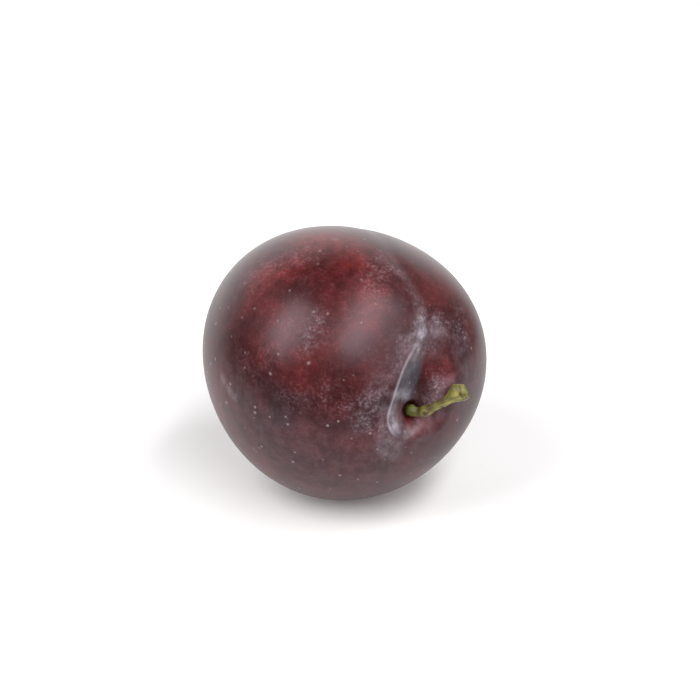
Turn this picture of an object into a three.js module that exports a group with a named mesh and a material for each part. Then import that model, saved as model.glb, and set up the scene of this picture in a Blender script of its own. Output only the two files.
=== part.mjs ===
// A ripe dark plum lying on its side: one fruit body with a stem hollow and a suture, and its short
// green stem. Millimetres, +Z up, the resting plane at z = 0 and the stem end facing -Y.
import * as THREE from 'three';

const { clamp, degToRad, lerp, smoothstep } = THREE.MathUtils;

// Fruit body. Its own frame has +Z along the stem axis, +X on the suture and +Y on the high cheek.
const MEAN_RADIUS = 27.1;
const LENGTHENING = 0.03; // share by which the body grows towards its two ends
const SUTURE_FLATTENING = 0.022; // share by which it is squashed from the suture to the back
const CHEEK_LOBES = 0.027; // share of the three low lobes around the stem axis
const SUTURE_LEAN = degToRad(20); // lean of the suture from straight up towards +X, as it lies

// Underside: round and even about the straight-down line, with the resting spot pressed flat.
const UNDERSIDE_RADIUS = 26.75;
const UNDERSIDE_SPREAD = degToRad(17); // angle from straight down over which the evenness fades
const SPOT_RISE = 0.62; // how much of the round underside is lost
const SPOT_BLEND = 0.25; // height over which the flat turns back into the round
const CENTRE_HEIGHT = UNDERSIDE_RADIUS - SPOT_RISE;

// Stem hollow: a drop-shaped funnel with a sharp lip on the high cheek and a soft far side.
const HOLLOW_DEPTH = 2.8;
const HOLLOW_AHEAD = 15.2; // reach along the suture
const HOLLOW_BEHIND = 4.9; // reach away from the suture
const HOLLOW_LIP_SIDE = 6.0; // reach to the sharp lip
const HOLLOW_SOFT_SIDE = 8.0; // reach to the soft side
const HOLLOW_POWER = 1.7; // 2 is an ellipse, and less draws the drop to a point
const HOLLOW_FLOOR = 0.5; // rounding of the hollow's bottom line
const LIP_RISE = 0.35; // how much the high cheek stands proud beside the lip
const LIP_FADE = 0.7; // how far that rise runs out, in hollow widths
const LIP_STARTS = [degToRad(-18), degToRad(12)]; // around the stem, from the suture
const LIP_STOPS = [degToRad(120), degToRad(165)];

// Pit at the bottom of the hollow, which the foot of the stem stands in.
const PIT_DEPTH = 1.5;
const PIT_RADIUS = 2.0;

// Suture: a shallow groove from the hollow to the blossom end, swaying a little off the middle.
const SUTURE_DEPTH = 0.42;
const SUTURE_HALF_WIDTH = 2.0;
const SUTURE_STARTS = [8, 15]; // distances from the stem, along the skin
const SUTURE_STOPS = [62, 80];
const SWAY = 2.0;
const SWAY_MIDDLE = 26;
const SWAY_HALF_LENGTH = 18;
const SWAY_OFFSET = 0.4;

// Blossom end: a small dimple opposite the stem.
const DIMPLE_DEPTH = 0.6;
const DIMPLE_RADIUS = 3.4;

// Body mesh.
const AROUND = 72;
const ROWS = 50;
const ROW_CROWDING = 1.6; // above 1 the rows crowd towards the stem

// Stem.
const STEM_RADIUS = 0.9;
const FOOT_SWELL = 0.3;
const END_FLARE = 0.55;
const END_KNOB = 0.5;
const FOOT_GAP = 0.45; // clear space between the foot and the bottom of the pit
const STEM_SIDES = 18;
const STEM_STEPS = 36;

/** Sideways place of the suture line at a distance from the stem along the skin. */
function sutureSway(fromStem) {
  const s = clamp((fromStem - SWAY_MIDDLE) / SWAY_HALF_LENGTH, -1, 1);
  return SWAY * Math.sin(Math.PI * s) * (1 - s * s) + SWAY_OFFSET * smoothstep(fromStem, 4, 20);
}

/** How far out in the hollow a place on the skin is: 0 on the stem axis and 1 at the rim. */
function hollowReach(ahead, side) {
  const off = side - sutureSway(Math.hypot(ahead, side)) * smoothstep(ahead, 0, 6);
  const along = Math.abs(ahead) / (ahead > 0 ? HOLLOW_AHEAD : HOLLOW_BEHIND);
  const across = (Math.hypot(off, HOLLOW_FLOOR) - HOLLOW_FLOOR)
    / (off > 0 ? HOLLOW_LIP_SIDE : HOLLOW_SOFT_SIDE);
  return Math.pow(Math.pow(along, HOLLOW_POWER) + Math.pow(across, HOLLOW_POWER), 1 / HOLLOW_POWER);
}

/** Distance of the skin from the middle of the fruit in a direction given in the fruit's frame. */
function skinRadius(d) {
  const lobes = d.x * d.x * d.x - 3 * d.x * d.y * d.y;
  const body = MEAN_RADIUS * (1 + LENGTHENING * (d.z * d.z - 1 / 3)
    - SUTURE_FLATTENING * (d.x * d.x - d.y * d.y) - CHEEK_LOBES * lobes);

  // Skin distances from the stem axis: ahead along the suture, side towards the high cheek.
  const fromStem = MEAN_RADIUS * Math.acos(clamp(d.z, -1, 1));
  const around = Math.atan2(d.y, d.x);
  const reach = hollowReach(fromStem * Math.cos(around), fromStem * Math.sin(around));
  const inside = Math.max(0, 1 - reach);
  const sharpRim = inside * (1 + 0.35 * reach);
  const softRim = inside * inside * (1 + 2 * reach);
  const lipped = smoothstep(around, ...LIP_STARTS) * (1 - smoothstep(around, ...LIP_STOPS));
  const hollow = HOLLOW_DEPTH * lerp(softRim, sharpRim, lipped);
  const beyond = Math.max(0, reach - 1) / LIP_FADE;
  const lip = LIP_RISE * lipped * Math.exp(-beyond * beyond) * smoothstep(reach, 0.3, 1);
  const pit = PIT_DEPTH * Math.exp(-Math.pow(fromStem / PIT_RADIUS, 4));

  const across = MEAN_RADIUS * Math.asin(clamp(d.y, -1, 1)) - sutureSway(fromStem);
  const along = smoothstep(fromStem, ...SUTURE_STARTS) * (1 - smoothstep(fromStem, ...SUTURE_STOPS));
  const groove = d.x > 0 ? along * Math.exp(-Math.pow(across / SUTURE_HALF_WIDTH, 2)) : 0;

  const fromBlossom = MEAN_RADIUS * Math.PI - fromStem;
  const dimple = DIMPLE_DEPTH * Math.exp(-Math.pow(fromBlossom / DIMPLE_RADIUS, 2));

  const skin = body - hollow + lip - pit - SUTURE_DEPTH * groove - dimple;
  const down = -d.x * Math.cos(SUTURE_LEAN) - d.y * Math.sin(SUTURE_LEAN);
  const under = Math.acos(clamp(down, -1, 1)) / UNDERSIDE_SPREAD;
  return lerp(skin, UNDERSIDE_RADIUS, Math.exp(-under * under));
}

// The fruit's own axes as it lies: stem axis level towards -Y, suture leaning over towards +X.
const stemAxis = new THREE.Vector3(0, -1, 0);
const sutureAxis = new THREE.Vector3(Math.sin(SUTURE_LEAN), 0, Math.cos(SUTURE_LEAN));
const cheekAxis = new THREE.Vector3().crossVectors(stemAxis, sutureAxis);
const asItLies = new THREE.Matrix4().makeBasis(sutureAxis, cheekAxis, stemAxis);

/** A height kept above a floor, with a rounded turn of the given height. */
function keepAbove(height, floor, blend) {
  const over = clamp((height - floor + blend) / (2 * blend), 0, 1);
  return height > floor + blend ? height : floor + blend * over * over;
}

/** Body: a sphere whose rows crowd round the stem, each vertex drawn out to the skin. */
function fruitGeometry() {
  const geometry = new THREE.SphereGeometry(MEAN_RADIUS, AROUND, ROWS);
  const position = geometry.getAttribute('position');
  const uv = geometry.getAttribute('uv');
  const point = new THREE.Vector3();
  for (let i = 0; i < position.count; i += 1) {
    const polar = Math.PI * Math.pow(1 - uv.getY(i), ROW_CROWDING);
    const around = 2 * Math.PI * uv.getX(i);
    point.set(Math.sin(polar) * Math.cos(around), Math.sin(polar) * Math.sin(around), Math.cos(polar));
    point.multiplyScalar(skinRadius(point));
    point.applyMatrix4(asItLies);
    point.z = keepAbove(point.z, -CENTRE_HEIGHT, SPOT_BLEND);
    position.setXYZ(i, point.x, point.y, point.z);
  }
  return geometry;
}

/** Radius of the stem at a share of its length and an angle round it. */
function stemRadius(share, angle) {
  const roundEnds = Math.sqrt(Math.max(0, 1 - Math.pow(Math.abs(2 * share - 1), 12)));
  const foot = FOOT_SWELL * Math.exp(-Math.pow((share - 0.07) / 0.08, 2));
  const flare = END_FLARE * smoothstep(share, 0.66, 0.9) * (1 + 0.25 * Math.cos(2 * angle));
  const facing = Math.max(0, Math.cos(angle - 2.2));
  const knob = END_KNOB * facing * facing * Math.exp(-Math.pow((share - 0.82) / 0.06, 2));
  return (STEM_RADIUS + foot + flare + knob) * roundEnds;
}

/** Stem: a closed lathe whose axis is bent along a curve. */
function stemGeometry() {
  const footY = -(skinRadius(new THREE.Vector3(0, 0, 1)) + FOOT_GAP);
  const curve = new THREE.CatmullRomCurve3([
    new THREE.Vector3(0.05, footY, 0),
    new THREE.Vector3(0.45, footY - 1.9, -0.1),
    new THREE.Vector3(1.75, -27.5, 0.3),
    new THREE.Vector3(3.8, -29.5, 2.0),
    new THREE.Vector3(6.1, -31.1, 3.4),
    new THREE.Vector3(8.2, -32.4, 5.1),
  ]);
  const length = curve.getLength();
  const profile = [];
  for (let i = 0; i <= STEM_STEPS; i += 1) {
    const t = i / STEM_STEPS;
    const share = t - Math.sin(2 * Math.PI * t) * 0.13; // steps crowd towards both ends
    profile.push(new THREE.Vector2(i % STEM_STEPS === 0 ? 0 : 1, share * length));
  }
  const geometry = new THREE.LatheGeometry(profile, STEM_SIDES);
  const position = geometry.getAttribute('position');
  const side = new THREE.Vector3(1, 0, 0);
  const point = new THREE.Vector3();
  for (let i = 0; i < position.count; i += 1) {
    const share = clamp(position.getY(i) / length, 0, 1);
    const angle = Math.atan2(position.getZ(i), position.getX(i));
    const radius = Math.hypot(position.getX(i), position.getZ(i)) * stemRadius(share, angle);
    const forward = curve.getTangentAt(share);
    const up = new THREE.Vector3().crossVectors(side, forward).normalize();
    const right = new THREE.Vector3().crossVectors(forward, up);
    point.copy(curve.getPointAt(share));
    point.addScaledVector(right, radius * Math.cos(angle));
    point.addScaledVector(up, radius * Math.sin(angle));
    position.setXYZ(i, point.x, point.y, point.z);
  }
  return geometry;
}

const skin = new THREE.MeshStandardMaterial({ color: 0x4a1d24, roughness: 0.42, metalness: 0 });
const stalk = new THREE.MeshStandardMaterial({ color: 0x8f8a2e, roughness: 0.7, metalness: 0 });

const fruit = new THREE.Mesh(fruitGeometry(), skin);
fruit.name = 'fruit';

const stem = new THREE.Mesh(stemGeometry(), stalk);
stem.name = 'stem';

const plum = new THREE.Group();
plum.name = 'plum';
plum.position.z = CENTRE_HEIGHT;
plum.add(fruit, stem);

export default plum;
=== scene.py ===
"""A ripe dark plum lying on its side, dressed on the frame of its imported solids.

The fruit and its stalk are surfaces worked out with numpy by the formulas of their solids, in finer
steps and with a little more form, and each wears a finish made of shader nodes. Lengths in the
classes are millimetres, apart from the studio's, which are metres.
"""

from __future__ import annotations

import logging
import math
from dataclasses import dataclass
from enum import Enum
from typing import Any

import bpy
import numpy as np
from mathutils import Matrix, Vector

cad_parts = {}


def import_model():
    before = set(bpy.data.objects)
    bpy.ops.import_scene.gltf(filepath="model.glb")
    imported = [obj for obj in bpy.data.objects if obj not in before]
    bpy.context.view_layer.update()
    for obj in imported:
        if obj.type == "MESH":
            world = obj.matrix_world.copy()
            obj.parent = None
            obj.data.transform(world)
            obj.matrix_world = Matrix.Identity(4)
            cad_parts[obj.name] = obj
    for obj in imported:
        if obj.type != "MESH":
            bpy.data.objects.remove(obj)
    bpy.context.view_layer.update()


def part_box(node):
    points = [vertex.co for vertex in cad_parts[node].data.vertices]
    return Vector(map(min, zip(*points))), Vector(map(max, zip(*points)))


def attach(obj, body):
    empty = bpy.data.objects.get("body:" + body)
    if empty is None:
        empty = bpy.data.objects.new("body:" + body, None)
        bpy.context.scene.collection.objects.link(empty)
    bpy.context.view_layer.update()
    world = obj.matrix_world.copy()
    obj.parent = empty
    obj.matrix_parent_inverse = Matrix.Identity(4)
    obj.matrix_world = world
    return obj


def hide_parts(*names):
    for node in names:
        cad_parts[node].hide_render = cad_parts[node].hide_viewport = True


Array = np.ndarray
Piece = bpy.types.Object
Tree = bpy.types.NodeTree
# Where a change begins and is complete, or its lowest and highest value.
Span = tuple[float, float]
# A place on the skin: its distance from the stem and its angle round it, in degrees.
Place = tuple[float, float]
Triple = tuple[float, float, float]

LOG = logging.getLogger("plum")
MM = 0.001


# --- small tools ---


def linear(code: str) -> tuple[float, float, float, float]:
    """Turns an sRGB hex colour into linear light.

    Args:
        code: six hex digits, such as "4a1d24".

    Returns:
        Linear red, green and blue, and an alpha of 1.
    """
    parts = [int(code[i : i + 2], 16) / 255.0 for i in (0, 2, 4)]
    light = [c / 12.92 if c <= 0.04045 else ((c + 0.055) / 1.055) ** 2.4 for c in parts]
    return (light[0], light[1], light[2], 1.0)


def ramp(x: Array, low: float, high: float) -> Array:
    """Smooth step: 0 up to low, 1 from high, and 3t^2 - 2t^3 between.

    Args:
        x: values to step.
        low: where the step starts.
        high: where it ends.

    Returns:
        The stepped values, from 0 to 1.
    """
    t = np.clip((x - low) / (high - low), 0.0, 1.0)
    return t * t * (3.0 - 2.0 * t)


def bell(x: Array, width: float) -> Array:
    """Bell curve exp(-(x / width)^2).

    Args:
        x: distances from the middle of the bell.
        width: distance at which it falls to about a third.

    Returns:
        Heights from 0 to 1.
    """
    return np.exp(-np.square(x / width))


def add(
    tree: Tree,
    kind: str,
    settings: dict[str, Any] | None = None,
    links: dict[str | int, Any] | tuple[Any, ...] = (),
    out: str | int | None = 0,
) -> Any:
    """Adds one node with its settings and its links.

    Args:
        tree: the node tree it goes into.
        kind: the node's class name.
        settings: properties of the node itself.
        links: what goes into its inputs, by name or number or in their order. Each is another
            node's output socket or a plain value.
        out: which output is wanted, or None for the node.

    Returns:
        The wanted output socket, or the node.
    """
    node = tree.nodes.new(kind)
    for name, value in (settings or {}).items():
        setattr(node, name, value)
    for key, value in links.items() if isinstance(links, dict) else enumerate(links):
        if isinstance(value, bpy.types.NodeSocket):
            tree.links.new(value, node.inputs[key])
        else:
            node.inputs[key].default_value = value
    return node if out is None else node.outputs[out]


def closed_surface(name: str, rings: Array, first: Array, last: Array) -> Piece:
    """Makes a closed mesh from rings of points with one point at either end.

    Args:
        name: the piece's name.
        rings: rows of rings, shape (rows, around, 3), in metres, counter-clockwise seen from first.
        first: the end point before the first ring.
        last: the end point after the last ring.

    Returns:
        The new object, at the origin, shaded smooth.
    """
    rows, around, _ = rings.shape
    points = np.concatenate([first[None, :], rings.reshape(-1, 3), last[None, :]])
    ring = 1 + np.arange(rows * around).reshape(rows, around)
    after = np.roll(ring, -1, axis=1)
    quads = np.stack([ring[:-1], ring[1:], after[1:], after[:-1]], axis=-1).reshape(-1, 4)
    start = np.stack([np.zeros(around, int), ring[0], after[0]], axis=-1)
    end = np.stack([np.full(around, len(points) - 1), after[-1], ring[-1]], axis=-1)
    mesh = bpy.data.meshes.new(name)
    mesh.from_pydata(points.tolist(), [], start.tolist() + quads.tolist() + end.tolist())
    mesh.polygons.foreach_set("use_smooth", np.ones(len(mesh.polygons), bool))
    mesh.update()
    piece = bpy.data.objects.new(name, mesh)
    bpy.context.scene.collection.objects.link(piece)
    return piece


def store(piece: Piece, mark: Enum, rings: Array, first: float, last: float) -> None:
    """Keeps one number per point as a mesh attribute that the finish reads.

    Args:
        piece: a piece from closed_surface.
        mark: what the number is, named by the mark's value.
        rings: values on the rings, shape (rows, around).
        first: value at the first end point.
        last: value at the last end point.
    """
    values = np.concatenate([[first], rings.ravel(), [last]]).astype(np.float32)
    attribute = piece.data.attributes.new(mark.value, "FLOAT", "POINT")
    attribute.data.foreach_set("value", values)


def curve_through(knots: Array, fineness: int) -> Array:
    """Carries a centripetal Catmull-Rom curve through points.

    Each stretch is the cubic of t from 0 to 1 that starts and ends at its two knots with the
    slopes leaving and arriving. A slope weighs the chords on both sides of its knot by the
    square roots of their lengths.

    Args:
        knots: the points, shape (count, 3).
        fineness: points on each stretch.

    Returns:
        Points along the curve.
    """
    ends = np.concatenate([[2 * knots[0] - knots[1]], knots, [2 * knots[-1] - knots[-2]]])
    gaps = np.sqrt(np.linalg.norm(np.diff(ends, axis=0), axis=1))
    stretches = len(knots) - 1
    p0, p1, p2, p3 = (ends[k : k + stretches, None, :] for k in range(4))
    gap0, gap1, gap2 = (gaps[k : k + stretches, None, None] for k in range(3))
    leaving = gap1 * ((p1 - p0) / gap0 - (p2 - p0) / (gap0 + gap1) + (p2 - p1) / gap1)
    arriving = gap1 * ((p2 - p1) / gap1 - (p3 - p1) / (gap1 + gap2) + (p3 - p2) / gap2)
    t = np.linspace(0.0, 1.0, fineness)[None, :, None]
    curve = (
        (2 * t**3 - 3 * t**2 + 1) * p1
        + (t**3 - 2 * t**2 + t) * leaving
        + (-2 * t**3 + 3 * t**2) * p2
        + (t**3 - t**2) * arriving
    )
    return np.concatenate([knots[:1], curve[:, 1:].reshape(-1, 3)])


class SkinMark(Enum):
    """Attributes that the fruit's mesh carries for its finish."""

    BLUSH = "blush"
    VEIL = "veil"
    DUST = "dust"
    # Painted shade on the hollow's upper wall: a darker ground and a bluer veil.
    PAINTED_SHADE = "painted_shade"
    LIP = "lip"


class StalkMark(Enum):
    """Attributes that the stalk's mesh carries for its finish."""

    SHARE = "share"
    # Painted highlight along the lower side, and the paler snapped end.
    HIGHLIGHT_AND_PALE_END = "highlight_and_pale_end"
    # Brown spots on the upper side, and painted shade in the crease of the neck.
    BROWN_AND_SHADE = "brown_and_crease_shade"


STALK_UV = "girth_and_length_mm"

# Kinds of node used most, and settings that several nodes share.
MAP_RANGE = "ShaderNodeMapRange"
MATH = "ShaderNodeMath"
MIX = "ShaderNodeMix"
SUBTRACT = {"operation": "SUBTRACT"}
MULTIPLY = {"operation": "MULTIPLY"}
MULTIPLY_ADD = {"operation": "MULTIPLY_ADD"}
CLAMPED_ADD = {"operation": "ADD", "use_clamp": True}
SMOOTH = {"interpolation_type": "SMOOTHSTEP"}
COLOUR_MIX = {"data_type": "RGBA"}

# Sockets of a colour Mix: its share, both colours and its result. A Map Range's inputs go in
# order: the value, the two ends it comes from and the two it goes to.
SHARE, UNDER, OVER, MIXED = 0, 6, 7, 2


# --- finishes ---


@dataclass(frozen=True)
class PlumSkin:
    """Plum skin: a smooth waxy cuticle, grown, with a dusty bloom that handling has rubbed.

    It gives the eye a deep red-black ground with soft highlights, a thin grey-lavender veil that
    is thick and powdery only in the hollow and the groove, and fine pale breathing spots. Painted
    shade darkens the hollow's upper wall and turns its veil bluer. Edges are the noise levels
    between which a pattern comes up; roughness runs from bare to veiled.
    """

    dark: str = "240405"
    red: str = "68110f"
    powder: str = "ada5af"
    # Bloom and ground colours for the painted shade on the hollow's upper wall.
    shaded_powder: str = "a6a6b2"
    shaded: str = "1e131c"
    gloss: str = "fff2fb"
    spot: str = "b09c98"
    ior: float = 1.40
    roughness: Span = (0.33, 0.60)
    veiled_share: float = 0.35
    cloud_mm: float = 7.0
    cloud_edges: Span = (0.35, 0.7)
    cloud_red: float = 0.2
    mottle_mm: float = 2.0
    mottle_edges: Span = (0.25, 0.75)
    mottle_red: Span = (0.4, 1.6)
    torn_edges: Span = (0.3, 0.7)
    torn_bloom: Span = (0.4, 1.4)
    grain_mm: float = 0.55
    grain_edges: Span = (0.44, 0.66)
    dust_cover: float = 0.52
    dust_between_grains: float = 0.12
    spot_cell_mm: float = 1.75
    spot_radius_mm: float = 0.36
    spotless_cells: float = 0.2
    spot_rim: Span = (-0.04, 0.1)
    spot_cover: float = 0.4
    spot_fade: float = 0.5
    spot_fade_heights: Span = (44.0, 24.0)
    relief_mm: float = 0.03
    relief_strength: float = 0.35
    powder_relief: float = 0.6
    spot_relief: float = 0.5

    def material(self) -> bpy.types.Material:
        """Builds the skin's node material.

        Returns:
            The material.
        """
        material = bpy.data.materials.new("plum_skin_with_bloom")
        material.use_nodes = True
        tree = material.node_tree
        tree.nodes.clear()
        place = add(tree, "ShaderNodeTexCoord", out="Object")
        mm = add(tree, "ShaderNodeMapping", links={0: place, "Scale": (1 / MM, 1 / MM, 1 / MM)})
        mark = {
            m: add(tree, "ShaderNodeAttribute", {"attribute_name": m.value}, out="Fac")
            for m in SkinMark
        }
        clouds, mottle, grain = (
            add(
                tree,
                "ShaderNodeTexNoise",
                links={"Vector": mm, "Scale": 1.0 / size, "Detail": detail, "Roughness": rough},
            )
            for size, detail, rough in (
                (self.cloud_mm, 2.0, 0.5),
                (self.mottle_mm, 3.0, 0.6),
                (self.grain_mm, 4.0, 0.75),
            )
        )
        powder, share = self.powder_coat(tree, mark, mottle, grain)
        spots = self.breathing_spots(tree, mm)
        spot_share = add(tree, MATH, MULTIPLY, (spots, self.spot_cover))
        colour = self.ground(tree, mark, clouds, mottle)
        for amount, over in ((share, powder), (spot_share, linear(self.spot))):
            colour = add(tree, MIX, COLOUR_MIX, {SHARE: amount, UNDER: colour, OVER: over}, MIXED)
        roughness = add(tree, MAP_RANGE, links=(share, 0.0, self.veiled_share, *self.roughness))
        height = mottle
        for amount, rise in ((share, self.powder_relief), (spots, self.spot_relief)):
            height = add(tree, MATH, MULTIPLY_ADD, (amount, rise, height))
        relief = {"Strength": self.relief_strength, "Distance": self.relief_mm * MM}
        normal = add(tree, "ShaderNodeBump", links={**relief, "Height": height})
        shader = add(
            tree,
            "ShaderNodeBsdfPrincipled",
            links={
                "Base Color": colour,
                "Roughness": roughness,
                "Normal": normal,
                "IOR": self.ior,
                "Specular Tint": linear(self.gloss),
            },
        )
        add(tree, "ShaderNodeOutputMaterial", links={"Surface": shader}, out=None)
        return material

    def ground(self, tree: Tree, mark: dict[SkinMark, Any], clouds: Any, mottle: Any) -> Any:
        """Mixes the skin's colour: red-black, redder where it blushed and in broad clouds, and darker
        in the painted shade of the hollow's wall.

        Args:
            tree: the skin's node tree.
            mark: the mesh's marks.
            clouds: broad noise.
            mottle: middle-sized noise.

        Returns:
            The colour.
        """
        clouds = add(tree, MAP_RANGE, SMOOTH, (clouds, *self.cloud_edges, 0.0, self.cloud_red))
        uneven = add(tree, MAP_RANGE, links=(mottle, *self.mottle_edges, *self.mottle_red))
        red = add(tree, MATH, CLAMPED_ADD, (mark[SkinMark.BLUSH], clouds))
        red = add(tree, MATH, MULTIPLY, (red, uneven))
        colour = linear(self.dark)
        # The second layer is painted shade on the hollow's upper wall.
        for amount, hue in ((red, self.red), (mark[SkinMark.PAINTED_SHADE], self.shaded)):
            over = linear(hue)
            colour = add(tree, MIX, COLOUR_MIX, {SHARE: amount, UNDER: colour, OVER: over}, MIXED)
        return colour

    def powder_coat(
        self, tree: Tree, mark: dict[SkinMark, Any], mottle: Any, grain: Any
    ) -> tuple[Any, Any]:
        """Lays the bloom: a torn veil, fine soft grains of dust and the pale line along the lip.

        Args:
            tree: the skin's node tree.
            mark: the mesh's marks.
            mottle: middle-sized noise.
            grain: fine noise.

        Returns:
            The bloom's colour, bluer in the painted shade of the hollow's wall, and how much of the
            skin it covers.
        """
        thin = self.dust_between_grains * self.dust_cover
        torn, grains = (
            add(tree, MAP_RANGE, SMOOTH, (noise, *edges, *cover))
            for noise, edges, cover in (
                (mottle, self.torn_edges, self.torn_bloom),
                (grain, self.grain_edges, (thin, self.dust_cover)),
            )
        )
        dust = add(tree, MATH, MULTIPLY, (mark[SkinMark.DUST], torn))
        dust = add(tree, MATH, MULTIPLY, (grains, dust))
        veil = add(tree, MATH, MULTIPLY_ADD, (mark[SkinMark.VEIL], torn, dust))
        share = add(tree, MATH, CLAMPED_ADD, (veil, mark[SkinMark.LIP]))
        # The bloom turns bluer where shade is painted on the hollow's wall.
        hues = {UNDER: linear(self.powder), OVER: linear(self.shaded_powder)}
        powder = add(tree, MIX, COLOUR_MIX, {SHARE: mark[SkinMark.PAINTED_SHADE], **hues}, MIXED)
        return powder, share

    def breathing_spots(self, tree: Tree, mm: Any) -> Any:
        """Scatters small pale dots, one to a cell of a Voronoi pattern and fainter near the top.

        Chance gives each dot its radius, and a share of the cells has none. A dot is as deep as its
        radius less the distance from its middle, and comes up between the depths of spot_rim.

        Args:
            tree: the skin's node tree.
            mm: place in millimetres.

        Returns:
            How much of a spot lies here, from 0 to 1.
        """
        cells = add(
            tree, "ShaderNodeTexVoronoi", links={0: mm, "Scale": 1.0 / self.spot_cell_mm}, out=None
        )
        chance = add(tree, "ShaderNodeSeparateColor", links=(cells.outputs["Color"],))
        height = add(tree, "ShaderNodeSeparateXYZ", links=(mm,), out="Z")
        largest = self.spot_radius_mm / self.spot_cell_mm
        sizes = (self.spotless_cells, 1.0, 0.0, largest)
        size = add(tree, MAP_RANGE, SMOOTH, (chance, *sizes))
        depth = add(tree, MATH, SUBTRACT, (size, cells.outputs["Distance"]))
        fading = (*self.spot_fade_heights, self.spot_fade, 1.0)
        shown = add(tree, MAP_RANGE, links=(height, *fading))
        return add(tree, MAP_RANGE, SMOOTH, (depth, *self.spot_rim, 0.0, shown))


@dataclass(frozen=True)
class GreenStalk:
    """Fresh fruit stalk: soft green wood under a thin ribbed bark, snapped off at a swollen joint.

    It gives the eye a yellow-green with pale streaks along it and olive patches, a painted
    highlight along its lower side, a paler snapped end, brown spots on its upper side with painted
    shade in the crease of its neck, and bright green pith at the snapped end.
    """

    green: str = "5a5718"
    pale: str = "918746"
    olive: str = "362a0a"
    base: str = "4c5112"
    brown: str = "43300b"
    pith: str = "5f7612"
    roughness: float = 0.55
    streak_mm: float = 0.35
    streak_stretch: float = 5.0
    streak_edges: Span = (0.45, 0.72)
    patch_mm: float = 1.4
    patch_edges: Span = (0.45, 0.68)
    base_share: Span = (0.3, 0.05)
    pith_share: Span = (0.945, 0.985)
    relief_mm: float = 0.08
    relief_strength: float = 0.5

    def material(self) -> bpy.types.Material:
        """Builds the stalk's node material: soft layers of colour, one over the other.

        Returns:
            The material.
        """
        material = bpy.data.materials.new("green_stalk_wood")
        material.use_nodes = True
        tree = material.node_tree
        tree.nodes.clear()
        along = add(tree, "ShaderNodeUVMap", {"uv_map": STALK_UV})
        stretch = (1.0, 1.0 / self.streak_stretch, 1.0)
        stretched = add(tree, "ShaderNodeMapping", links={0: along, "Scale": stretch})
        streaks, patches = (
            add(tree, "ShaderNodeTexNoise", links={0: uv, "Scale": 1.0 / size, "Detail": 3.0})
            for uv, size in ((stretched, self.streak_mm), (along, self.patch_mm))
        )
        mark = {
            m: add(tree, "ShaderNodeAttribute", {"attribute_name": m.value}, out="Fac")
            for m in StalkMark
        }
        share = mark[StalkMark.SHARE]
        light, dark, foot, core = (
            add(tree, MAP_RANGE, SMOOTH, (value, *edges))
            for value, edges in (
                (streaks, self.streak_edges),
                (patches, self.patch_edges),
                (share, self.base_share),
                (share, self.pith_share),
            )
        )
        colour = linear(self.green)
        layers = (
            (light, self.pale),
            # Painted highlight along the lower side, and the paler snapped end.
            (mark[StalkMark.HIGHLIGHT_AND_PALE_END], self.pale),
            (dark, self.olive),
            # Brown spots, and painted shade in the crease of the neck.
            (mark[StalkMark.BROWN_AND_SHADE], self.brown),
            (foot, self.base),
            (core, self.pith),
        )
        for amount, hue in layers:
            over = linear(hue)
            colour = add(tree, MIX, COLOUR_MIX, {SHARE: amount, UNDER: colour, OVER: over}, MIXED)
        relief = {"Strength": self.relief_strength, "Distance": self.relief_mm * MM}
        normal = add(tree, "ShaderNodeBump", links={**relief, "Height": streaks})
        shader = add(
            tree,
            "ShaderNodeBsdfPrincipled",
            links={"Base Color": colour, "Roughness": self.roughness, "Normal": normal},
        )
        add(tree, "ShaderNodeOutputMaterial", links={"Surface": shader}, out=None)
        return material


# --- the fruit ---


@dataclass(frozen=True)
class Patch:
    """A soft zone on the skin, round, or long where it runs on to a second place.

    A place's distance runs along the skin, and its angle from the groove to the high cheek.
    """

    at: Place
    spread: float
    strength: float
    to: Place | None = None


# Redder skin, where the sun reached it, and darker skin where the strength is below 0.
BLUSH_ZONES = (
    Patch((39.0, 22.0), 5.0, 0.75, (45.0, 30.0)),
    Patch((39.1, 46.0), 4.0, 0.66, (41.5, 62.0)),
    Patch((25.6, 28.0), 3.4, 0.92),
    Patch((32.5, 25.0), 3.5, 0.75),
    Patch((32.0, 70.0), 4.0, 0.36, (33.0, 82.0)),
    Patch((22.0, 41.0), 4.0, 0.32),
    Patch((26.0, 52.0), 5.0, 0.24, (23.5, 84.0)),
    Patch((44.0, 106.0), 4.0, 0.45),
    Patch((9.5, -32.0), 3.5, 0.6),
    Patch((29.0, -28.0), 4.5, 0.5, (26.0, -12.0)),
    Patch((23.0, -42.0), 4.0, 0.35),
    Patch((2.6, -150.0), 1.8, 0.8),
    Patch((35.0, 147.0), 5.0, 0.3),
    Patch((3.8, -110.0), 2.0, 0.4),
    Patch((4.8, -45.0), 1.6, 0.35),
    Patch((21.5, 125.0), 5.0, -0.18),
    Patch((29.0, 106.0), 5.5, -0.16),
    Patch((4.9, 120.0), 1.2, -0.4, (4.6, 145.0)),
    Patch((8.0, 58.0), 1.2, -0.35, (7.2, 75.0)),
)
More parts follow.
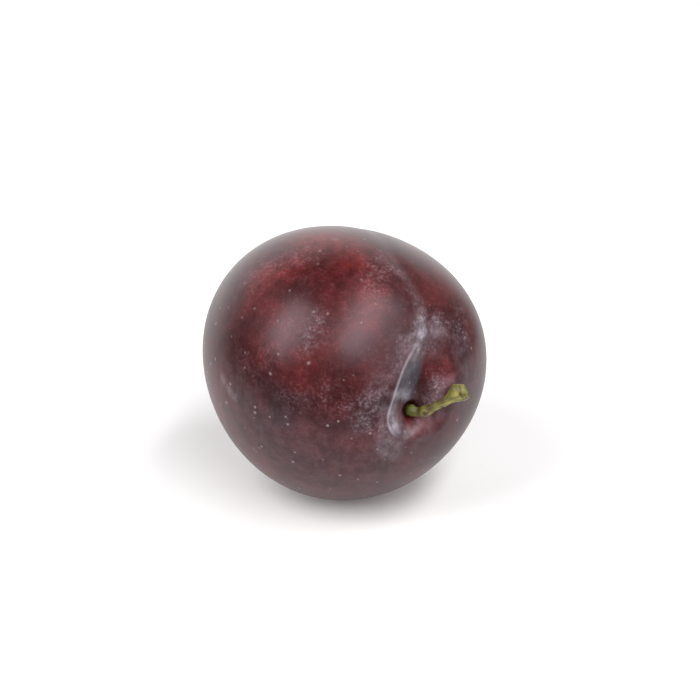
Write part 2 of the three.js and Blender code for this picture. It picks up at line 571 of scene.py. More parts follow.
# Even grey bloom: most of it in and round the stem hollow and its pit, and one painted highlight above
# the stalk.
VEIL_AND_HIGHLIGHT_ZONES = (
    Patch((5.3, 90.0), 0.9, 0.34, (4.9, 122.0)),
    Patch((4.7, 130.0), 1.0, 0.23, (4.2, 172.0)),
    Patch((7.0, 122.0), 1.0, 0.1),
    Patch((4.2, 172.0), 0.8, 0.28, (3.1, -138.0)),
    Patch((6.3, 57.0), 0.9, 0.45, (3.9, 32.0)),
    Patch((8.2, 58.0), 0.9, -0.06),
    Patch((10.2, 76.0), 1.9, 0.03, (9.6, 108.0)),
    Patch((10.4, 50.0), 1.4, -0.04, (13.5, 42.0)),
    Patch((7.2, 86.0), 0.8, 0.08, (6.9, 106.0)),
    Patch((7.1, 126.0), 0.8, 0.08),
    Patch((5.3, 159.0), 0.9, 0.08),
    Patch((11.8, 4.4), 0.7, 0.08, (14.0, 19.0)),
    Patch((5.2, 80.0), 0.7, 0.12),
    # Painted highlight on the skin just above the stalk's shaft, laid on as veil.
    Patch((4.4, -44.0), 1.0, 0.1, (6.2, -50.0)),
    Patch((5.7, -155.0), 1.1, 0.06, (5.9, -128.0)),
    Patch((10.6, 20.0), 0.7, 0.13, (14.5, 4.5)),
    Patch((14.5, 4.5), 0.9, 0.13, (17.0, -2.0)),
    Patch((6.2, 169.0), 1.0, 0.1),
    Patch((7.6, 145.0), 1.7, 0.14, (8.8, 168.0)),
    Patch((4.4, 104.0), 0.9, 0.2),
    Patch((3.6, 141.0), 0.9, 0.1),
    Patch((15.6, 5.5), 1.6, 0.16, (13.5, 12.0)),
    Patch((17.1, 6.0), 0.9, 0.08, (11.9, 7.5)),
    Patch((21.8, 3.1), 1.1, 0.1, (17.1, 6.0)),
    Patch((11.9, 9.0), 0.9, 0.09, (8.0, 30.0)),
    Patch((4.2, -110.0), 1.5, 0.1, (6.6, -79.0)),
    Patch((15.2, -3.0), 1.6, 0.15, (16.8, -10.0)),
    Patch((15.5, -34.0), 4.0, 0.06, (12.9, -62.0)),
    Patch((13.5, 20.0), 2.4, 0.07, (9.4, 62.0)),
    Patch((37.4, 108.4), 0.9, 0.15, (41.4, 103.8)),
    Patch((41.3, 25.0), 0.7, 0.2),
    Patch((7.0, -34.0), 1.6, 0.12, (8.8, -45.0)),
)
# Grainy bloom: along the groove, round the hollow and in rubbed islands on the cheeks.
DUST_ZONES = (
    Patch((26.2, 59.0), 1.9, 0.38, (25.2, 69.0)),
    Patch((30.4, 69.5), 1.6, 0.22),
    Patch((22.8, 41.5), 1.6, 0.12),
    Patch((29.5, 10.5), 2.2, 0.22),
    Patch((39.8, 41.0), 2.5, 0.18),
    Patch((14.0, 18.5), 1.2, 0.18),
    Patch((25.0, 100.0), 2.4, 0.12, (18.5, 89.0)),
    Patch((34.3, 92.0), 3.0, 0.1),
    Patch((16.0, 94.0), 2.2, 0.12, (11.4, 90.0)),
    Patch((11.0, 114.0), 2.0, 0.15),
    Patch((29.5, 83.0), 2.2, 0.14),
    Patch((15.8, 9.0), 1.6, 0.45, (18.5, 1.0)),
    Patch((15.0, 18.0), 1.7, 0.13, (10.3, 40.0)),
    Patch((10.3, 40.0), 1.5, 0.08, (8.8, 66.0)),
    Patch((13.0, 42.0), 1.8, 0.05, (11.0, 75.0)),
    Patch((10.0, 75.0), 1.8, 0.34, (9.3, 110.0)),
    Patch((12.7, 98.0), 1.4, 0.2),
    Patch((18.4, -13.0), 1.8, 0.8),
    Patch((8.7, -26.0), 1.6, 0.3),
    Patch((24.0, -28.0), 2.6, 0.25),
    Patch((44.5, 8.0), 4.5, 0.2),
    Patch((12.5, -5.0), 1.8, 0.16),
    Patch((7.0, -33.0), 1.6, 0.55, (4.0, -60.0)),
    Patch((18.6, -31.0), 2.6, 0.5),
    Patch((7.0, 116.0), 1.3, 0.35, (8.4, 165.0)),
    Patch((25.5, 26.0), 2.4, 0.26, (32.0, 15.0)),
    Patch((41.0, 43.0), 4.5, 0.16, (45.0, 60.0)),
)


@dataclass(frozen=True)
class SkinPlace:
    """Where directions from the fruit's middle lie on its skin.

    from_stem is the distance from the stem, and ahead its part towards the suture. off is the
    distance to the high cheek from the hollow's own middle line, and across that from the suture.
    reach is 0 at the stem and 1 at the hollow's rim, and lipped is 1 where that rim is sharp.
    """

    from_stem: Array
    ahead: Array
    off: Array
    across: Array
    reach: Array
    lipped: Array


@dataclass(frozen=True)
class SkinMarks:
    """How strongly each mark shows on the skin, and where: everywhere, in bands and in patches.

    A pair is where something begins and is complete, or begins to end and is gone.
    """

    blush: float = 0.07
    blush_below: float = 0.05
    blush_of_zones: float = 0.6
    veil: float = 0.003
    veil_below: float = 0.03
    veil_on_wall: float = 0.07
    dust: float = 0.06
    dust_in_band: float = 0.25
    below: Span = (-0.1, 0.5)
    band_offset: float = 2.2
    band_half_width: float = 1.5
    band_start: Span = (14.0, 20.0)
    band_thinning: Span = (19.0, 27.0)
    band_thinned: float = 0.45
    band_fading: Span = (50.0, 80.0)
    band_faded: float = 0.5
    wall_foot: Span = (-0.2, 0.8)
    wall_rim: Span = (0.85, 1.0)
    # Where the painted shade on the hollow's wall begins and ends, by the way ahead of the stem.
    painted_shade_start: Span = (0.5, 4.0)
    painted_shade_end: Span = (8.0, 12.5)
    # A pale line along the lip's edge.
    lip_line_strength: float = 0.48
    lip_half_width: float = 0.036
    lip_end: Span = (10.0, 14.0)
    # Painted shadow just beyond the lip: a short band with less blush and dust, so darker.
    lip_shadow_reach: float = 1.12
    lip_shadow_half_width: float = 0.07
    lip_shadow_ahead: float = 3.6
    lip_shadow_half_length: float = 2.0
    lip_shadow_strength: float = 0.9

    def over(self, fruit: FruitBody, d: Array) -> dict[SkinMark, Array]:
        """Works out where the skin is reddened, veiled and dusty, where shade is painted, and where a
        pale line runs along its lip.

        The underside is a little redder and duller. A band of dust runs beside the groove. The
        hollow's wall under the lip is veiled, and on its part ahead of the stem it is painted in
        shade: a darker ground and a bluer veil. The lip's edge carries a pale line, and just beyond
        it lies a short painted shadow of the lip, with less blush and dust.

        Args:
            fruit: the fruit that is marked.
            d: unit directions in the fruit's frame.

        Returns:
            A value for each direction, by mark.
        """
        at = fruit.places(d)
        below = ramp(-d[..., 0], *self.below)
        band = bell(at.across - self.band_offset, self.band_half_width) * (d[..., 0] > 0.0)
        band = band * ramp(at.from_stem, *self.band_start)
        band = band * (1.0 - self.band_thinned * ramp(at.from_stem, *self.band_thinning))
        band = band * (1.0 - self.band_faded * ramp(at.from_stem, *self.band_fading))
        wall = (1.0 - ramp(at.reach, *self.wall_rim)) * ramp(at.off, *self.wall_foot) * at.lipped
        # Painted shade on the hollow's wall, on its part ahead of the stem.
        painted_shade = wall * ramp(at.ahead, *self.painted_shade_start)
        lip = bell(at.reach - 1.0, self.lip_half_width) * at.lipped
        # Painted shadow of the lip, just beyond its edge.
        lip_shadow = bell(at.reach - self.lip_shadow_reach, self.lip_shadow_half_width) * at.lipped
        lip_shadow = lip_shadow * bell(at.ahead - self.lip_shadow_ahead, self.lip_shadow_half_length)
        lip_shadow_factor = 1.0 - self.lip_shadow_strength * lip_shadow
        blush = self.blush + self.blush_below * below
        blush = blush + self.blush_of_zones * fruit.zone(d, BLUSH_ZONES)
        veil = self.veil + self.veil_below * below + self.veil_on_wall * wall
        dust = self.dust + self.dust_in_band * band + fruit.zone(d, DUST_ZONES)
        return {
            SkinMark.BLUSH: blush * lip_shadow_factor,
            SkinMark.VEIL: veil + fruit.zone(d, VEIL_AND_HIGHLIGHT_ZONES),
            SkinMark.DUST: dust * lip_shadow_factor,
            SkinMark.PAINTED_SHADE: painted_shade * (1.0 - ramp(at.ahead, *self.painted_shade_end)),
            SkinMark.LIP: self.lip_line_strength * lip * (1.0 - ramp(at.ahead, *self.lip_end)),
        }


@dataclass
class FruitBody:
    """The fruit: skin drawn out from its middle, in a frame with the stem axis up.

    In the fruit's own frame +Z is the stem axis, +X the suture and +Y the high cheek. As it
    lies, the stem axis points to -Y and the suture leans from straight up towards +X.
    """

    mean_radius: float = 27.1
    lengthening: float = 0.03
    suture_flattening: float = 0.022
    cheek_lobes: float = 0.027
    suture_lean_deg: float = 20.0
    underside_radius: float = 26.75
    underside_spread_deg: float = 17.0
    spot_rise: float = 0.62
    spot_blend: float = 0.25
    hollow_depth: float = 2.8
    hollow_ahead: float = 15.2
    hollow_behind: float = 5.1
    hollow_lip_side: float = 5.6
    hollow_soft_side: float = 8.0
    hollow_power: float = 1.9
    hollow_floor: float = 0.5
    hollow_crease: float = 0.35
    lip_rise: float = 0.35
    lip_fade: float = 0.7
    lip_foot: float = 0.3
    lip_start_deg: Span = (-18.0, 12.0)
    lip_end_deg: Span = (120.0, 165.0)
    pit_depth: float = 1.5
    pit_radius: float = 1.8
    suture_depth: float = 0.42
    suture_half_width: float = 2.0
    suture_start: Span = (8.0, 15.0)
    suture_fading: Span = (23.0, 37.0)
    suture_fade: float = 0.75
    suture_end: Span = (62.0, 80.0)
    sway: float = 2.0
    sway_middle: float = 26.0
    sway_half_length: float = 18.0
    sway_offset: float = 0.4
    sway_offset_start: Span = (4.0, 20.0)
    sway_in_hollow: float = 6.0
    dimple_depth: float = 0.6
    dimple_radius: float = 3.4
    rows: int = 262
    around: int = 356
    row_crowding: float = 1.45
    marks: SkinMarks = SkinMarks()
    finish: PlumSkin = PlumSkin()

    @property
    def centre_height(self) -> float:
        """Height of the fruit's middle above what it lies on."""
        return self.underside_radius - self.spot_rise

    @property
    def axes(self) -> Array:
        """Works out the fruit's own axes as it lies.

        Returns:
            Suture, high cheek and stem axis as rows, in the part's frame.
        """
        lean = math.radians(self.suture_lean_deg)
        suture = np.array([math.sin(lean), 0.0, math.cos(lean)])
        stem = np.array([0.0, -1.0, 0.0])
        return np.stack([suture, np.cross(stem, suture), stem])

    def directions(self) -> tuple[Array, Array]:
        """Works out the grid of directions from the fruit's middle.

        The polar angle is pi times the row's share to the power row_crowding, so rows crowd
        towards the stem; the angle around runs evenly from -pi.

        Returns:
            The rings' directions, shape (rows, around, 3), and the two poles, shape (2, 3).
        """
        polar = math.pi * (np.arange(1, self.rows) / self.rows) ** self.row_crowding
        turn = -math.pi + 2.0 * math.pi * np.arange(self.around) / self.around
        polar, turn = np.meshgrid(polar, turn, indexing="ij")
        rings = np.stack(
            [np.sin(polar) * np.cos(turn), np.sin(polar) * np.sin(turn), np.cos(polar)], -1
        )
        return rings, np.array([[0.0, 0.0, 1.0], [0.0, 0.0, -1.0]])

    def suture_sway(self, from_stem: Array) -> Array:
        """Sideways place of the suture line: one damped sine wave plus a slow shift.

        Args:
            from_stem: distance from the stem along the skin.

        Returns:
            Distance of the line from the fruit's middle plane.
        """
        s = np.clip((from_stem - self.sway_middle) / self.sway_half_length, -1.0, 1.0)
        wave = self.sway * np.sin(np.pi * s) * (1.0 - s * s)
        return wave + self.sway_offset * ramp(from_stem, *self.sway_offset_start)

    def places(self, d: Array) -> SkinPlace:
        """Works out where each direction lies on the skin.

        The hollow's reach is (along^p + aside^p)^(1/p) with p = hollow_power, where along and
        aside are the ways from the stem as shares of its half length and half width.

        Args:
            d: unit directions in the fruit's frame.

        Returns:
            The places.
        """
        x, y, z = d[..., 0], d[..., 1], d[..., 2]
        from_stem = self.mean_radius * np.arccos(np.clip(z, -1.0, 1.0))
        around = np.arctan2(y, x)
        ahead = from_stem * np.cos(around)
        sway = self.suture_sway(from_stem)
        off = from_stem * np.sin(around) - sway * ramp(ahead, 0.0, self.sway_in_hollow)
        along = np.abs(ahead) / np.where(ahead > 0.0, self.hollow_ahead, self.hollow_behind)
        width = np.where(off > 0.0, self.hollow_lip_side, self.hollow_soft_side)
        aside = (np.hypot(off, self.hollow_floor) - self.hollow_floor) / width
        power = self.hollow_power
        turn = np.degrees(around)
        return SkinPlace(
            from_stem=from_stem,
            ahead=ahead,
            off=off,
            across=self.mean_radius * np.arcsin(np.clip(y, -1.0, 1.0)) - sway,
            reach=(along**power + aside**power) ** (1.0 / power),
            lipped=ramp(turn, *self.lip_start_deg) * (1.0 - ramp(turn, *self.lip_end_deg)),
        )

    def skin_radius(self, d: Array) -> Array:
        """Distance of the skin from the fruit's middle.

        A ball, lengthened along the stem axis, flattened across the suture and given three low
        lobes, less the stem hollow, its pit, the suture groove and the blossom dimple, plus the
        rise beside the lip. The hollow is a smooth step on its soft side and a straight slope up
        to a crease on its lip's side. The pit is exp(-(s / radius)^4), which has a flat floor.
        Straight down it all turns into an even round underside.

        Args:
            d: unit directions in the fruit's frame.

        Returns:
            Radius for each direction.
        """
        x, y, z = d[..., 0], d[..., 1], d[..., 2]
        body = self.mean_radius * (
            1.0
            + self.lengthening * (z * z - 1.0 / 3.0)
            - self.suture_flattening * (x * x - y * y)
            - self.cheek_lobes * (x**3 - 3.0 * x * y * y)
        )
        at = self.places(d)
        from_stem, reach = at.from_stem, at.reach
        soft = 1.0 - ramp(reach, 0.0, 1.0)
        sharp = np.maximum(0.0, 1.0 - reach) * (1.0 + self.hollow_crease * reach)
        hollow = self.hollow_depth * (soft + (sharp - soft) * at.lipped)
        beyond = np.maximum(0.0, reach - 1.0)
        lip = self.lip_rise * at.lipped * bell(beyond, self.lip_fade)
        lip = lip * ramp(reach, self.lip_foot, 1.0)
        pit = self.pit_depth * np.exp(-((from_stem / self.pit_radius) ** 4))
        along = ramp(from_stem, *self.suture_start) * (1.0 - ramp(from_stem, *self.suture_end))
        along = along * (1.0 - self.suture_fade * ramp(from_stem, *self.suture_fading))
        groove = self.suture_depth * along * bell(at.across, self.suture_half_width) * (x > 0.0)
        from_blossom = math.pi * self.mean_radius - from_stem
        dimple = self.dimple_depth * bell(from_blossom, self.dimple_radius)
        skin = body - hollow + lip - pit - groove - dimple
        lean = math.radians(self.suture_lean_deg)
        down = np.arccos(np.clip(-x * math.cos(lean) - y * math.sin(lean), -1.0, 1.0))
        under = bell(down, math.radians(self.underside_spread_deg))
        return skin + (self.underside_radius - skin) * under

    def lay_down(self, d: Array) -> Array:
        """Turns directions into points of the skin as the fruit lies.

        The points below the resting plane are lifted to it, with a parabola for the turn.

        Args:
            d: unit directions in the fruit's frame.

        Returns:
            Points in the part's frame, in metres.
        """
        points = (d * self.skin_radius(d)[..., None]) @ self.axes
        height = points[..., 2] + self.centre_height
        over = np.clip((height + self.spot_blend) / (2.0 * self.spot_blend), 0.0, 1.0)
        pressed = self.spot_blend * over * over
        points[..., 2] = np.where(height > self.spot_blend, height, pressed)
        return points * MM

    def direction(self, place: Place) -> Array:
        """Turns a place on the skin into a direction in the fruit's frame."""
        polar, turn = place[0] / self.mean_radius, math.radians(place[1])
        return np.array(
            [math.sin(polar) * math.cos(turn), math.sin(polar) * math.sin(turn), math.cos(polar)]
        )

    def zone(self, d: Array, patches: tuple[Patch, ...]) -> Array:
        """Adds up bell-shaped patches by their distance along the skin.

        A long patch is measured from the nearest point of the straight line between its ends.

        Args:
            d: unit directions in the fruit's frame.
            patches: the patches.

        Returns:
            The sum for each direction.
        """
        total = np.zeros(d.shape[:-1])
        for patch in patches:
            start = self.direction(patch.at)
            run = self.direction(patch.to or patch.at) - start
            share = np.clip((d - start) @ run / (float(run @ run) or 1.0), 0.0, 1.0)
            middle = start + share[..., None] * run
            middle /= np.linalg.norm(middle, axis=-1, keepdims=True)
            away = self.mean_radius * np.arccos(np.clip((d * middle).sum(-1), -1.0, 1.0))
            total += patch.strength * bell(away, patch.spread)
        return total

    def build(self) -> Piece:
        """Makes the fruit's mesh with its marks and finish, in place of the CAD fruit.

        Returns:
            The piece.
        """
        rings, poles = self.directions()
        low = np.array(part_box("fruit")[0])
        points, ends = self.lay_down(rings), self.lay_down(poles)
        shift = low - np.minimum(points.reshape(-1, 3).min(0), ends.min(0))
        LOG.info("fruit lies %.3f mm from its solid's low corner", np.linalg.norm(shift) / MM)
        piece = closed_surface("fruit_skin", points, ends[0], ends[1])
        ring_marks, end_marks = self.marks.over(self, rings), self.marks.over(self, poles)
        for mark in SkinMark:
            first, last = end_marks[mark]
            store(piece, mark, ring_marks[mark], first, last)
        piece.data.materials.append(self.finish.material())
        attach(piece, "root")
        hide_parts("fruit")
        return piece


# --- the stalk ---


@dataclass(frozen=True)
class Rise:
    """A soft rise of the stalk's radius or of a mark on it, all round or on one side.

    At a share s of the length and an angle a it is height times bell(s - at, spread), times
    max(0, cos(a - side)) to the power one_sided, where 0 goes all round.
    """

    height: float
    at: float
    spread: float
    side: float = 0.0
    one_sided: int = 0

    def over(self, share: Array, angle: Array) -> Array:
        """Height of the rise at each share of the length, a column, and each angle, a row."""
        facing = np.maximum(0.0, np.cos(angle - self.side)) ** self.one_sided
        return self.height * facing * bell(share - self.at, self.spread)


@dataclass
class Stalk:
    """The stalk: a round twig along a bent line, swollen at its foot and at its snapped end.

    Stations are points in the part's frame measured from the fruit's middle. Angles round the
    stalk are radians from +X, with the way down at a right angle, so the upper left is at -2.3.
    Places along it are shares of its length.
    """

    stations: tuple[Triple, ...] = (
        (0.05, 0.0, 0.0),
        (0.45, -1.9, -0.1),
        (1.75, -27.5, 0.5),
        (3.8, -29.5, 2.35),
        (6.1, -31.1, 3.9),
        (8.42, -32.5, 5.1),
    )
    foot_gap: float = 0.45
    radius: float = 0.8
    swells: tuple[Rise, ...] = (
        Rise(0.35, 0.07, 0.08),  # the foot
        Rise(0.35, 0.12, 0.055, -2.4, 1),  # a ball on the foot
        Rise(0.25, 0.3, 0.07),  # the knee
        Rise(1.3, 0.81, 0.09, -2.2, 2),  # a knob beside the end
        Rise(0.5, 0.965, 0.06, -2.2, 2),  # the end's upper corner
        Rise(-0.3, 0.21, 0.045, -2.2, 2),  # a notch in the neck
    )
    end_flare: float = 0.6
    end_flare_run: Span = (0.66, 0.9)
    end_oval: float = 0.25
    end_squareness: int = 12
    end_dish: float = 1.1
    end_dish_run: Span = (0.94, 1.0)
    rib_height: float = 0.035
    ribs: int = 7
    rib_twist: float = 5.0
    rib_start: Span = (0.05, 0.2)
    lump_height: float = 0.05
    lump_pace: float = 23.0
    lump_wander: float = 2.0
    lump_start: Span = (0.1, 0.3)
    # Brown spots on the upper side; the first, at the notch in the neck, is painted shade in its
    # crease.
    brown_spots_and_crease_shade: tuple[Rise, ...] = (
        Rise(1.4, 0.22, 0.04, -2.5, 1),
        Rise(1.0, 0.4, 0.05, -2.5, 1),
        Rise(1.0, 0.6, 0.055, -2.5, 1),
        Rise(0.3, 0.5, 0.2, -2.5, 1),
    )
    # Painted highlight along the stalk's lower side.
    lower_side_highlight: Rise = Rise(0.5, 0.55, 0.3, 1.8, 2)
    pale_end: float = 0.3
    pale_end_run: Span = (0.74, 0.86)
    steps: int = 220
    sides: int = 72
    step_crowding: float = 0.13
    curve_fineness: int = 200
    finish: GreenStalk = GreenStalk()

    def line(self, fruit: FruitBody) -> tuple[Array, Array, Array, float]:
        """Carries a smooth curve through the stations and divides it into steps.

        Steps crowd towards both ends: a step's share of the length is n - c sin(2 pi n), with n
        its share of their number and c = step_crowding. The first two stations are measured from
        the pit's floor.

        Args:
            fruit: the fruit that the stalk grows from.

        Returns:
            Points, unit tangents and shares of the length, from end to end, and the length.
        """
        floor = float(fruit.skin_radius(np.array([0.0, 0.0, 1.0])))
        knots = np.array(self.stations)
        knots[:2, 1] -= floor + self.foot_gap
        fine = curve_through(knots, self.curve_fineness)
        lengths = np.concatenate([[0.0], np.cumsum(np.linalg.norm(np.diff(fine, axis=0), axis=1))])
        step = np.arange(1, self.steps) / self.steps
        inner = step - self.step_crowding * np.sin(2.0 * np.pi * step)
        share = np.concatenate([[0.0], inner, [1.0]])
        slopes = np.gradient(fine, lengths, axis=0)
        points, tangents = (
            np.stack([np.interp(share * lengths[-1], lengths, v[:, k]) for k in range(3)], -1)
            for v in (fine, slopes)
        )
        tangents /= np.linalg.norm(tangents, axis=1, keepdims=True)
        return points, tangents, share, float(lengths[-1])

    def radii(self, share: Array, angle: Array) -> Array:
        """Radius along and around the stalk.

        A twig with rounded ends, swellings at the foot and at the knee where it leaves the pit, a
        ball and a notch between them on the upper left, a flare of oval section with a side knob
        and a corner at the snapped end, shallow ribs that twist and slow lumps. The ends close as
        the square root of 1 - |2 s - 1|^end_squareness.

        Args:
            share: share of the length, column.
            angle: angle round the stalk, row.

        Returns:
            Radius for each pair.
        """
        radius = self.radius + sum(rise.over(share, angle) for rise in self.swells)
        oval = 1.0 + self.end_oval * np.cos(2.0 * angle)
        flare = self.end_flare * ramp(share, *self.end_flare_run) * oval
        ribs = np.cos(self.ribs * angle + self.rib_twist * share)
        ribs = self.rib_height * ribs * ramp(share, *self.rib_start)
        lumps = np.sin(self.lump_pace * share + self.lump_wander * np.cos(angle))
        lumps = self.lump_height * lumps * ramp(share, *self.lump_start)
        from_middle = np.abs(2.0 * share - 1.0)
        round_ends = np.sqrt(np.maximum(0.0, 1.0 - from_middle**self.end_squareness))
        return (radius + flare + ribs + lumps) * round_ends

    def build(self, fruit: FruitBody) -> Piece:
        """Makes the stalk's mesh with its marks and finish, in place of the CAD stem.

        Rings of points stand square to the line. Those of the snapped end are drawn back into it
        along the line, which leaves the end dished.

        Args:
            fruit: the fruit that the stalk grows from.

        Returns:
            The piece.
        """
        points, tangents, shares, length = self.line(fruit)
        share = shares[1:-1, None]
        angle = (2.0 * np.pi * np.arange(self.sides) / self.sides)[None, :]
        forward = tangents[1:-1]
        down = np.cross([1.0, 0.0, 0.0], forward)
        down /= np.linalg.norm(down, axis=1, keepdims=True)
        right = np.cross(forward, down)
        round_right, round_down = np.cos(angle)[..., None], np.sin(angle)[..., None]
        outward = round_right * right[:, None, :] + round_down * down[:, None, :]
        rings = points[1:-1, None, :] + self.radii(share, angle)[..., None] * outward
        rings -= (self.end_dish * ramp(share, *self.end_dish_run) * forward)[:, None, :]
        foot, tip = points[0], points[-1] - self.end_dish * forward[-1]
        lift = np.array([0.0, 0.0, fruit.centre_height])
        piece = closed_surface("stalk", (rings + lift) * MM, (foot + lift) * MM, (tip + lift) * MM)
        brown_and_crease_shade = np.minimum(1.0, sum(spot.over(share, angle) for spot in self.brown_spots_and_crease_shade))
        highlight_and_pale_end = self.lower_side_highlight.over(share, angle)
        highlight_and_pale_end = highlight_and_pale_end + self.pale_end * ramp(share, *self.pale_end_run)
        store(piece, StalkMark.SHARE, np.repeat(share, self.sides, 1), 0.0, 1.0)
        store(piece, StalkMark.BROWN_AND_SHADE, brown_and_crease_shade, 0.0, 0.0)
        store(piece, StalkMark.HIGHLIGHT_AND_PALE_END, highlight_and_pale_end, 0.0, 0.0)
        self.unwrap(piece, share[:, 0] * length)
        piece.data.materials.append(self.finish.material())
        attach(piece, "root")
        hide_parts("stem")
        LOG.info("stalk is %.1f mm long", length)
        return piece

    def unwrap(self, piece: Piece, at: Array) -> None:
        """Gives the stalk a UV map in millimetres: girth across and length up.

        Args:
            piece: the stalk.
            at: length along the stalk of each ring.
        """
        mesh = piece.data
        vertex = np.zeros(len(mesh.loops), np.int32)
        mesh.loops.foreach_get("vertex_index", vertex)
        face = np.repeat(np.arange(len(mesh.polygons)), [p.loop_total for p in mesh.polygons])
        column = (vertex - 1) % self.sides
        row = np.clip((vertex - 1) // self.sides, 0, len(at) - 1)
        top = np.zeros(len(mesh.polygons))
        np.maximum.at(top, face, column)
        wraps = (column == 0) & (top[face] == self.sides - 1)
        girth = 2.0 * np.pi * self.radius
        across = np.where(wraps, self.sides, column) / self.sides * girth
        uv = np.stack([across, at[row]], -1).astype(np.float32)
        layer = mesh.uv_layers.new(name=STALK_UV)
        layer.data.foreach_set("uv", uv.ravel())


# --- the studio ---


@dataclass(frozen=True)
class SoftBox:
    """A soft light: its direction from the fruit, the way its length runs, its size and power."""

    name: str
    towards: Triple
    lengthwise: Triple
    distance: float
    width: float
    height: float
    watts: float


@dataclass
class Studio:
    """A pale floor, soft light and the camera. Lengths here are metres."""

    azimuth_deg: float = -30.0
    elevation_deg: float = 25.0
    distance: float = 0.45
    frame_width: float = 0.1352
    sensor_mm: float = 36.0
    aim_right: float = 0.00142
    aim_up: float = 0.00195
    seen: Span = (0.01, 50.0)
    floor_size: float = 6.0
    floor_drop: float = 0.00002
    floor_colour: str = "e0e0e0"
    floor_roughness: float = 0.9
    floor_glow: tuple[float, float, float, float] = (0.10, 0.085, 0.085, 1.0)
    plate_radius: float = 0.15
    plate_middle: Triple = (0.0, 0.08, 0.0)
    plate_sides: int = 96
    backdrop: float = 1.65
    backdrop_towards: Triple = (-0.30, 0.95, 0.0)
    backdrop_edge: Span = (0.45, 0.85)
    wall_levels: Span = (0.05, 0.55)
    wall_edge: Span = (0.1, 0.45)
    ceiling_edge: Span = (0.65, 0.85)
    boxes: tuple[SoftBox, ...] = (
        SoftBox("soft_box_left", (-0.62, -0.42, 0.63), (0.6, 0.36, 0.72), 1.1, 0.40, 0.95, 9.1),
        SoftBox("soft_box_right", (0.33, -0.44, 0.83), (0.38, 0.87, 0.31), 1.1, 0.36, 1.4, 13.4),
        SoftBox("soft_fill", (0.72, -0.60, 0.34), (0.0, 0.0, 1.0), 1.2, 1.0, 0.6, 2.8),
    )

    def turned(self, v: Triple) -> Vector:
        """Turns a direction given as seen by a camera at azimuth 0 to the camera's azimuth."""
        a = math.radians(self.azimuth_deg)
        return Vector(
            (v[0] * math.cos(a) - v[1] * math.sin(a), v[0] * math.sin(a) + v[1] * math.cos(a), v[2])
        )

    def floor(self) -> None:
        """Lays the floor just under the resting plane: a round plate and its level surround.

        Both are one white paper, matte and softly lit from all round, with a faint warm glow of its
        own that lightens and warms the shadows on it. Only the plate shows in the gloss of the skin,
        as if the table ended there, so the fruit's sides reflect the dim room beyond it.
        """
        count = self.plate_sides
        turn = np.linspace(0.0, 2.0 * math.pi, count, endpoint=False)
        circle = np.stack([np.cos(turn), np.sin(turn), np.zeros(count)], -1)
        ring = np.arange(count)
        after = np.roll(ring, -1)
        plate = circle * self.plate_radius + np.array(self.turned(self.plate_middle))
        square = circle / np.abs(circle).max(1, keepdims=True) * self.floor_size / 2.0
        quads = np.stack([ring, ring + count, after + count, after], -1)
        material = bpy.data.materials.new("glowing_white_paper")
        material.use_nodes = True
        shader = material.node_tree.nodes["Principled BSDF"]
        shader.inputs["Base Color"].default_value = linear(self.floor_colour)
        shader.inputs["Roughness"].default_value = self.floor_roughness
        # The paper glows faintly and warm though it is no lamp: painted light that lifts and warms the
        # shadows on the floor.
        shader.inputs["Emission Color"].default_value = self.floor_glow
        shader.inputs["Emission Strength"].default_value = 1.0
        for name, points, faces in (
            ("floor_plate", plate, [ring.tolist()]),
            ("floor_surround", np.concatenate([plate, square]), quads.tolist()),
        ):
            mesh = bpy.data.meshes.new(name)
            mesh.from_pydata((points - [0.0, 0.0, self.floor_drop]).tolist(), [], faces)
            mesh.materials.append(material)
            piece = bpy.data.objects.new(name, mesh)
            piece.visible_glossy = name == "floor_plate"
            bpy.context.scene.collection.objects.link(piece)

    def sky(self) -> None:
        """Surrounds the scene with a white backdrop, dimmer walls and a dark ceiling.

        Backdrop, walls and ceiling are smooth steps in how far a direction points away from the
        camera and in its height, so the light has no edges.
        """
        world = bpy.data.worlds.new("studio")
        bpy.context.scene.world = world
        world.use_nodes = True
        tree = world.node_tree
        tree.nodes.clear()
        way = add(tree, "ShaderNodeTexCoord", out="Generated")
        up = add(tree, "ShaderNodeSeparateXYZ", links=(way,), out="Z")
        towards = self.turned(self.backdrop_towards)
        away = add(tree, "ShaderNodeVectorMath", {"operation": "DOT_PRODUCT"}, (way, towards), "Value")
        behind, above, under_ceiling = (
            add(tree, MAP_RANGE, SMOOTH, (value, *edges, start, 1.0 - start))
            for value, edges, start in (
                (away, self.backdrop_edge, 0.0),
                (up, self.wall_edge, 0.0),
                (up, self.ceiling_edge, 1.0),
            )
        )
        wall = add(tree, MAP_RANGE, links=(above, 0.0, 1.0, *self.wall_levels))
        level = add(tree, MIX, links={"Factor": behind, "A": wall, "B": self.backdrop})
        strength = add(tree, MATH, MULTIPLY, (level, under_ceiling))
        white = (1.0, 1.0, 1.0, 1.0)
        light = add(tree, "ShaderNodeBackground", links=(white, strength))
        add(tree, "ShaderNodeOutputWorld", links={"Surface": light}, out=None)

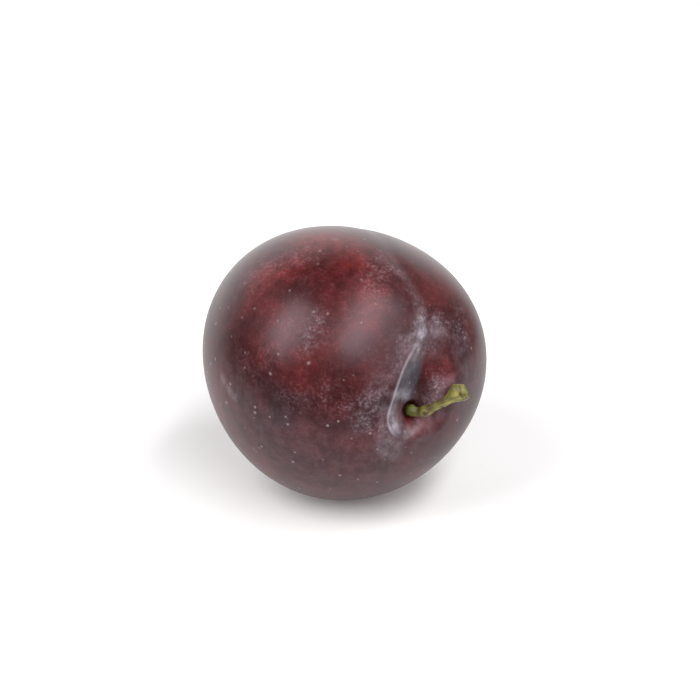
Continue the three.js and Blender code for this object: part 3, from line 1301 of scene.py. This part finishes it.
    def lamps(self, middle: Vector) -> None:
        """Hangs the soft boxes round the fruit.

        Args:
            middle: the fruit's middle.
        """
        for box in self.boxes:
            data = bpy.data.lights.new(box.name, "AREA")
            data.shape = "RECTANGLE"
            data.size = box.width
            data.size_y = box.height
            data.energy = box.watts
            lamp = bpy.data.objects.new(box.name, data)
            back = self.turned(box.towards).normalized()
            across = self.turned(box.lengthwise).cross(back).normalized()
            lamp.location = middle + back * box.distance
            axes = Matrix((across, back.cross(across), back)).transposed()
            lamp.rotation_mode = "QUATERNION"
            lamp.rotation_quaternion = axes.to_quaternion()
            bpy.context.scene.collection.objects.link(lamp)

    def camera(self, middle: Vector) -> None:
        """Sets the camera.

        Args:
            middle: the fruit's middle.
        """
        a, e = math.radians(self.azimuth_deg), math.radians(self.elevation_deg)
        back = Vector((math.sin(a) * math.cos(e), -math.cos(a) * math.cos(e), math.sin(e)))
        right = Vector((0.0, 0.0, 1.0)).cross(back).normalized()
        up = back.cross(right)
        data = bpy.data.cameras.new("camera")
        data.sensor_width = self.sensor_mm
        data.lens = self.sensor_mm * self.distance / self.frame_width
        data.clip_start, data.clip_end = self.seen
        camera = bpy.data.objects.new("camera", data)
        aim = middle + right * self.aim_right + up * self.aim_up
        camera.location = aim + back * self.distance
        camera.rotation_mode = "QUATERNION"
        camera.rotation_quaternion = (-back).to_track_quat("-Z", "Y")
        bpy.context.scene.collection.objects.link(camera)
        bpy.context.scene.camera = camera

    def build(self, middle: Vector) -> None:
        """Builds the whole studio.

        Args:
            middle: the fruit's middle.
        """
        self.floor()
        self.sky()
        self.lamps(middle)
        self.camera(middle)
        bpy.context.scene.view_settings.view_transform = "Standard"


def main() -> None:
    """Loads the frame, builds each piece in turn and the studio round them."""
    logging.basicConfig(level=logging.INFO, format="%(name)s: %(message)s")
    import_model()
    fruit = FruitBody()
    for piece in (fruit.build(), Stalk().build(fruit)):
        LOG.info("%s: %d points", piece.name, len(piece.data.vertices))
    Studio().build(Vector((0.0, 0.0, fruit.centre_height * MM)))


if __name__ == "__main__":
    main()
